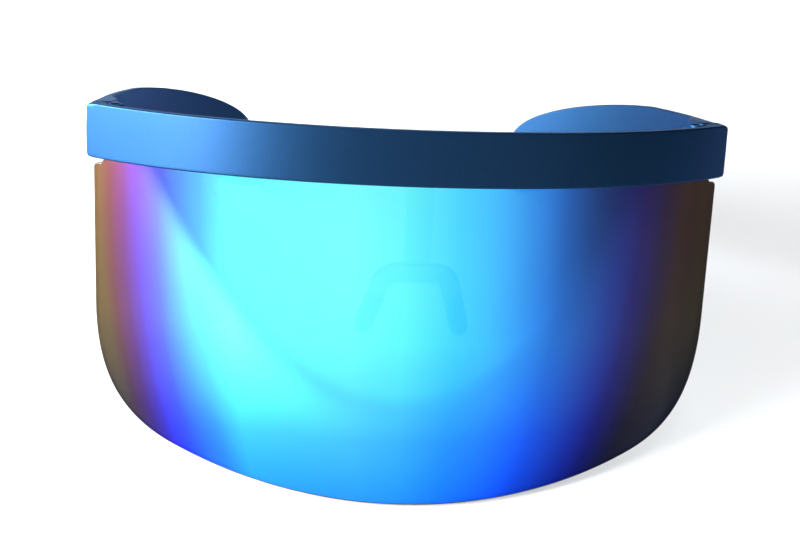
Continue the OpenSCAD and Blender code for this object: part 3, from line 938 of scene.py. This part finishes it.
    def build(self, wardrobe: Wardrobe) -> Object:
        """Builds the bar.

        Args:
            wardrobe: The finishes.

        Returns:
            The piece.
        """
        s = self.sizes
        ring = self.stations()
        outer, inner = ring["outer"], ring["inner"]
        width = np.linalg.norm(inner - outer, axis=1)
        height = s.bar_h + s.bar_arch * np.clip(outer[:, 0] / (s.half_w - s.end_slant), 0, 1) ** 2
        depth, z = self.sections(width, height, ring)
        plan = outer[:, None] + (inner - outer)[:, None] * (depth / width[:, None])[:, :, None]
        x = np.minimum(plan[:, :, 0], self.side(z, ring["shrink"][:, None]))
        right = np.stack([x, plan[:, :, 1], z], axis=2)
        grid = np.concatenate([right[:0:-1] * [-1, 1, 1], right])
        n, m = grid.shape[:2]
        faces = Plate.band(n, m).tolist()
        faces += [list(range(m))[::-1], list(range((n - 1) * m, n * m))]
        obj = new_object("brow_bar_shell", self.stand.place(grid.reshape(-1, 3)), faces)
        finish_hard(obj)
        wardrobe.wear(obj, "paint")
        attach(obj, Body.FRONT.value)
        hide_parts("brow_bar")
        return obj


def finish_hard(obj: Object) -> None:
    """Makes normals outward, shades smoothly and keeps the edges that are sharper than 35 degrees.

    Args:
        obj: The piece.
    """
    hard, same = math.radians(35.0), 1e-7
    bm = bmesh.new()
    bm.from_mesh(obj.data)
    bmesh.ops.remove_doubles(bm, verts=bm.verts[:], dist=same)
    bmesh.ops.dissolve_degenerate(bm, dist=same, edges=bm.edges[:])
    bmesh.ops.recalc_face_normals(bm, faces=bm.faces[:])
    bm.to_mesh(obj.data)
    bm.free()
    obj.data.shade_smooth()
    obj.data.set_sharp_from_angle(angle=hard)
    weighted = obj.modifiers.new("Weighted normals", "WEIGHTED_NORMAL")
    weighted.keep_sharp = True
    weighted.weight = 60


@dataclass
class Temple:
    """One folding temple: block, blade and the two lips round the hinge."""

    sizes: Sizes
    stand: Stand
    side: int
    rim: float = 0.5
    long_steps: int = 90
    end_steps: int = 16
    block_slope: float = 0.35
    lip_edge: float = 0.15
    lip_overlap: float = 0.2

    def outline(self) -> Sides:
        """Draws the temple seen from the side: distance behind its front face, and height.

        Cubic curves run over the top, round the rear and back along the bottom.

        Returns:
            Its top, rear, bottom and front sides, clockwise.
        """
        s = self.sizes
        drop, h = s.tip_drop, s.end_h

        def pts(shares: list) -> list:
            """Turns shares of the length and the drop into points."""
            return [(s.temple_l * a, -drop * b) for a, b in shares]

        hinge = [(s.temple_l * a, -h - (drop - h) * b) for a, b in ((0.5, 0.07), (0.093, 0.02))]
        top = pts([(0.42, 0.036), (0.69, 0.079), (1, 0.227), (1, 0.524)])
        rear = pts([(1, 0.524), (1, 0.833), (0.958, 1), (0.89, 1)])
        low = pts([(0.89, 1), (0.712, 1)]) + hinge
        r = self.rim
        over = [*arc(r, -s.temple_sink - r, r, 135, 90, 3), top[0], *cubic(top, 60)]
        rear_points = [over[-1], *cubic(rear, 60)]
        under = [rear_points[-1], *cubic(low, 80), *arc(r, -h + r, r, 270, 225, 3)]
        front = [under[-1], *arc(r, -h + r, r, 225, 180, 3)[1:], *arc(r, -s.temple_sink - r, r, 180, 135, 3)]
        n, m = self.long_steps, self.end_steps
        return evenly(over, n), evenly(rear_points, m), evenly(under, n), evenly(front, m)

    def bend(self, u: Array, v: Array, w: Array, outer: Array) -> Array:
        """Lays the flat temple along its plan.

        Args:
            u: Distance behind the front face.
            v: Height.
            w: Depth from the outer face, or from the inner face where negative.
            outer: Which points belong to the outer half.

        Returns:
            The points in millimetres.
        """
        s = self.sizes
        thick = s.temple_x - s.block_x
        ramp = (thick - s.blade_t) / self.block_slope
        t = np.interp(u, [0, s.block_l, s.block_l + ramp], [thick, thick, s.blade_t])
        d = np.where(outer, w, t + w)
        a = np.arcsin(np.clip((u - s.straight_l) / s.bend_r, 0, 1))
        x = s.temple_x - s.bend_r + (s.bend_r - d) * np.cos(a)
        y = s.temple_y + np.minimum(u, s.straight_l) + (s.bend_r - d) * np.sin(a)
        return np.column_stack([self.side * x, y, v])

    def build(self, wardrobe: Wardrobe) -> list:
        """Builds the temple.

        Args:
            wardrobe: The finishes.

        Returns:
            Its shell and its lips.
        """
        label = "right" if self.side > 0 else "left"
        obj = Plate(*self.outline(), self.rim, self.bend).build(f"temple_{label}_shell", self.stand)
        wardrobe.wear(obj, "paint", "paint", "paint")
        pieces = [obj, self.lips(f"temple_{label}_lips", wardrobe)]
        for piece in pieces:
            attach(piece, (Body.RIGHT if self.side > 0 else Body.LEFT).value)
            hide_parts(f"temple_{label}")
        return pieces

    def lips(self, name: str, wardrobe: Wardrobe) -> Object:
        """Builds the two lips that close round the hinge, the upper one with its access hole.

        Each is a ring of sections about the pin: hole, eased edge, wall, eased edge and hole again. Where
        there is none, it starts and ends in a point.

        Args:
            name: The piece's name.
            wardrobe: The finishes.

        Returns:
            The piece.
        """
        s = self.sizes
        pin = np.array([s.pin_x, s.pin_y])
        rear = s.temple_y + s.block_l / 2
        corners = arc(*pin, s.lip_r, -180, 0, 24)
        corners += [(s.pin_x + s.lip_r, rear), (s.block_x + self.lip_overlap, rear), corners[0]]
        line = along(corners, count=90, tight=0.3)[:-1]
        ray = line - pin
        ray /= np.linalg.norm(ray, axis=1, keepdims=True)
        verts, faces, count, ease = [], [], len(line), self.lip_edge
        for (low, top), hole in zip(s.lip_heights, (s.hole_r, 0.0)):
            rings = ((pin + hole * ray, top), (line - ease * ray, top), (line, top - ease))
            rings += ((line, low + ease), (line - ease * ray, low), (pin + hole * ray, low))
            quads = Plate.band(len(rings) + bool(hole), count) % (len(rings) * count)
            faces.append(quads + len(verts) * count)
            verts += [np.column_stack([self.side * xy[:, 0], xy[:, 1], np.full(count, z)]) for xy, z in rings]
        obj = new_object(name, self.stand.place(np.concatenate(verts)), np.concatenate(faces))
        finish_hard(obj)
        wardrobe.wear(obj, "paint")
        return obj


@dataclass(frozen=True)
class Lamp:
    """An area light that fades towards its sides.

    Its strength is 36 u (1 - u) v (1 - v), with u and v its two parameters, which has a mean of one. The
    power is in watts, and the beam is how wide its light spreads, in degrees.
    """

    name: str
    at: tuple
    to: tuple
    size: tuple
    power: float
    beam: float = 180.0
    colour: tuple = (0.97, 0.985, 1.0)
    peak: float = 36.0

    def build(self) -> None:
        """Makes the light and points it."""
        data = bpy.data.lights.new(self.name, "AREA")
        data.shape = "RECTANGLE"
        data.size, data.size_y = self.size
        data.energy = self.power
        data.color = self.colour
        data.spread = math.radians(self.beam)
        data.use_nodes = True
        g = Graph(data.node_tree)
        place = g.add("NewGeometry").outputs["Parametric"]
        product = g.vector("MULTIPLY", place, g.vector("SUBTRACT", (1.0, 1.0, 1.0), place))
        parts = g.add("SeparateXYZ", Vector=product).outputs
        fade = g.math("MULTIPLY", parts["X"], parts["Y"])
        g.put(g.tree.nodes["Emission"], Strength=g.math("MULTIPLY", fade, self.peak))
        obj = bpy.data.objects.new(self.name, data)
        obj.location = self.at
        obj.rotation_euler = (Vector(self.to) - Vector(self.at)).to_track_quat("-Z", "Y").to_euler()
        bpy.context.scene.collection.objects.link(obj)


@dataclass
class Studio:
    """Camera, floor and light.

    The camera's place and its pitch, yaw and roll belong to the upright glasses; its focal length is in
    picture widths. Side levels lie over the cosine to the darkest side, from -1 to 1, and rise levels over
    height. The floor's own light is near_level up to near_to, and from far_from the room's less lit_level.
    """

    stand: Stand
    camera_at: tuple = (-25.31, -270.17, 32.68)
    angles: tuple = (0.2318, 0.0774, 0.0443)
    focal: float = 1231.9 / 800
    sensor: float = 36.0
    reach: float = 60.0
    cells: int = 16
    dark_side: tuple = (0.94, 0.34, 0.0)
    side_levels: tuple = ((0.0, 1.0), (0.55, 1.0), (0.7, 0.7), (0.82, 0.3), (1.0, 0.06))
    rise_levels: tuple = ((0.0, 1.0), (0.06, 1.0), (0.2, 0.86), (0.36, 0.56), (0.6, 0.42), (1.0, 0.32))
    room_level: float = 1.27
    lit_level: float = 0.23
    near_level: float = 0.29
    near_to: float = 0.3
    far_from: float = 1.2
    lamps: tuple = (
        Lamp("Left window", (-0.93, -0.38, 0.31), (0, 0, 0.06), (0.7, 0.4), 10.0, 90.0),
        Lamp("Low window", (-1.0, 0.2, 0.2), (0, 0, 0.06), (0.75, 0.38), 13.0, 90.0),
        Lamp("Overhead", (-0.1, 0.1, 1.3), (0, 0, 0), (1.0, 1.0), 7.0),
    )

    def camera(self) -> None:
        """Places the camera where the photograph was taken from."""
        pitch, yaw, roll = self.angles
        fwd = np.array([math.sin(yaw) * math.cos(pitch), math.cos(yaw) * math.cos(pitch), -math.sin(pitch)])
        right = np.array([math.cos(yaw), -math.sin(yaw), 0.0])
        up = np.cross(right, fwd)
        right2 = math.cos(roll) * right + math.sin(roll) * up
        up2 = -math.sin(roll) * right + math.cos(roll) * up
        axes = self.stand.turn([right2, up2, -fwd])
        data = bpy.data.cameras.new("Camera")
        data.sensor_width = self.sensor
        data.lens = self.focal * self.sensor
        data.clip_start = 0.01
        obj = bpy.data.objects.new("Camera", data)
        at = Matrix.Translation(self.stand.place(self.camera_at)[0].tolist())
        obj.matrix_world = at @ Matrix(axes.T.tolist()).to_4x4()
        bpy.context.scene.collection.objects.link(obj)
        bpy.context.scene.camera = obj

    def side_level(self, g: Graph, way: Socket) -> Socket:
        """Gives the room's level on the side that a direction points to."""
        half = g.add("MapRange", Value=g.vector("DOT_PRODUCT", way, self.dark_side), From_Min=-1.0)
        return g.ramp(half.outputs["Result"], self.side_levels)

    def floor(self) -> None:
        """Lays a plain pale floor out to the horizon.

        Where it is seen straight, in a mirror or through glass it shines by itself: a little near the glasses,
        and as much as the room further out, so that no horizon shows in the lens.
        """
        line = np.linspace(-self.reach, self.reach, self.cells + 1)
        x, y = np.meshgrid(line, line)
        verts = np.column_stack([x.ravel(), y.ravel(), np.zeros(x.size)])
        row = self.cells + 1
        i = (np.arange(self.cells)[:, None] * row + np.arange(self.cells)).ravel()
        obj = new_object("floor", verts, np.column_stack([i, i + 1, i + row + 1, i + row]))
        material, g, shader = shaded("Pale floor")
        noise = g.add("TexNoise", Scale=3.0).outputs["Fac"]
        path = g.add("LightPath").outputs
        seen = g.math("MAXIMUM", path["Is Camera Ray"], path["Is Glossy Ray"])
        seen = g.math("MAXIMUM", seen, path["Is Transmission Ray"])
        place = g.add("TexCoord").outputs["Object"]
        side = g.math("MAXIMUM", self.side_level(g, g.vector("NORMALIZE", place)), path["Is Camera Ray"])
        far = g.math("SUBTRACT", g.math("MULTIPLY", side, self.room_level), self.lit_level)
        level = g.add("MapRange", Value=g.vector("LENGTH", place), From_Max=self.far_from, To_Max=far)
        g.put(level, From_Min=self.near_to, To_Min=self.near_level)
        g.put(
            shader,
            Base_Color=g.blend(noise, (0.50, 0.51, 0.52), (0.52, 0.52, 0.53)),
            Roughness=0.8,
            Emission_Color=(1.0, 1.0, 1.0, 1.0),
            Emission_Strength=g.math("MULTIPLY", seen, level.outputs["Result"]),
            Specular_IOR_Level=0.1,
        )
        obj.data.materials.append(material)

    def light(self) -> None:
        """Sets the soft light: a pale room, two windows on the left and an overhead.

        The room dims towards its dark side and upwards, by the product of two ramps. The camera itself sees
        all of it at its full level.
        """
        world = bpy.data.worlds.new("World")
        bpy.context.scene.world = world
        world.use_nodes = True
        g = Graph(world.node_tree)
        way = g.add("TexCoord").outputs["Generated"]
        height = g.add("SeparateXYZ", Vector=way).outputs["Z"]
        room = g.vector("MULTIPLY", self.side_level(g, way), g.ramp(height, self.rise_levels, "B_SPLINE"))
        seen = g.add("LightPath").outputs["Is Camera Ray"]
        g.put(g.tree.nodes["Background"], Color=g.vector("MAXIMUM", room, seen), Strength=self.room_level)
        for lamp in self.lamps:
            lamp.build()

    def build(self) -> None:
        """Builds all of it."""
        bpy.context.scene.view_settings.view_transform = "Standard"
        self.camera()
        self.floor()
        self.light()


def dress_frame(wardrobe: Wardrobe) -> None:
    """Gives the carried-over CAD nodes their finishes.

    Args:
        wardrobe: The finishes.
    """
    worn = {
        "lens_strip": "inner",
        "nose_bracket": "clear",
        "nose_pad_left": "silicone",
        "nose_pad_right": "silicone",
    }
    for name, obj in frame["nodes"].items():
        wardrobe.wear(obj, worn.get(name, "steel"))


def main() -> None:
    """Dresses the frame, builds the finer pieces and adds the studio."""
    logging.basicConfig(level=logging.INFO, format="%(name)s: %(message)s")
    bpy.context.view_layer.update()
    sizes = Sizes()
    stand = Stand.from_record(frame["record"], sizes.top_mount_y)
    wardrobe = Wardrobe(stand)
    dress_frame(wardrobe)
    pieces = [Lens(sizes, stand).build(wardrobe), BrowBar(sizes, stand).build(wardrobe)]
    for side in (-1, 1):
        pieces += Temple(sizes, stand, side).build(wardrobe)
    for piece in pieces:
        LOG.info("built %s with %d faces", piece.name, len(piece.data.polygons))
    Studio(stand).build()
    LOG.info("camera, floor and lights are set")


if __name__ == "__main__":
    main()
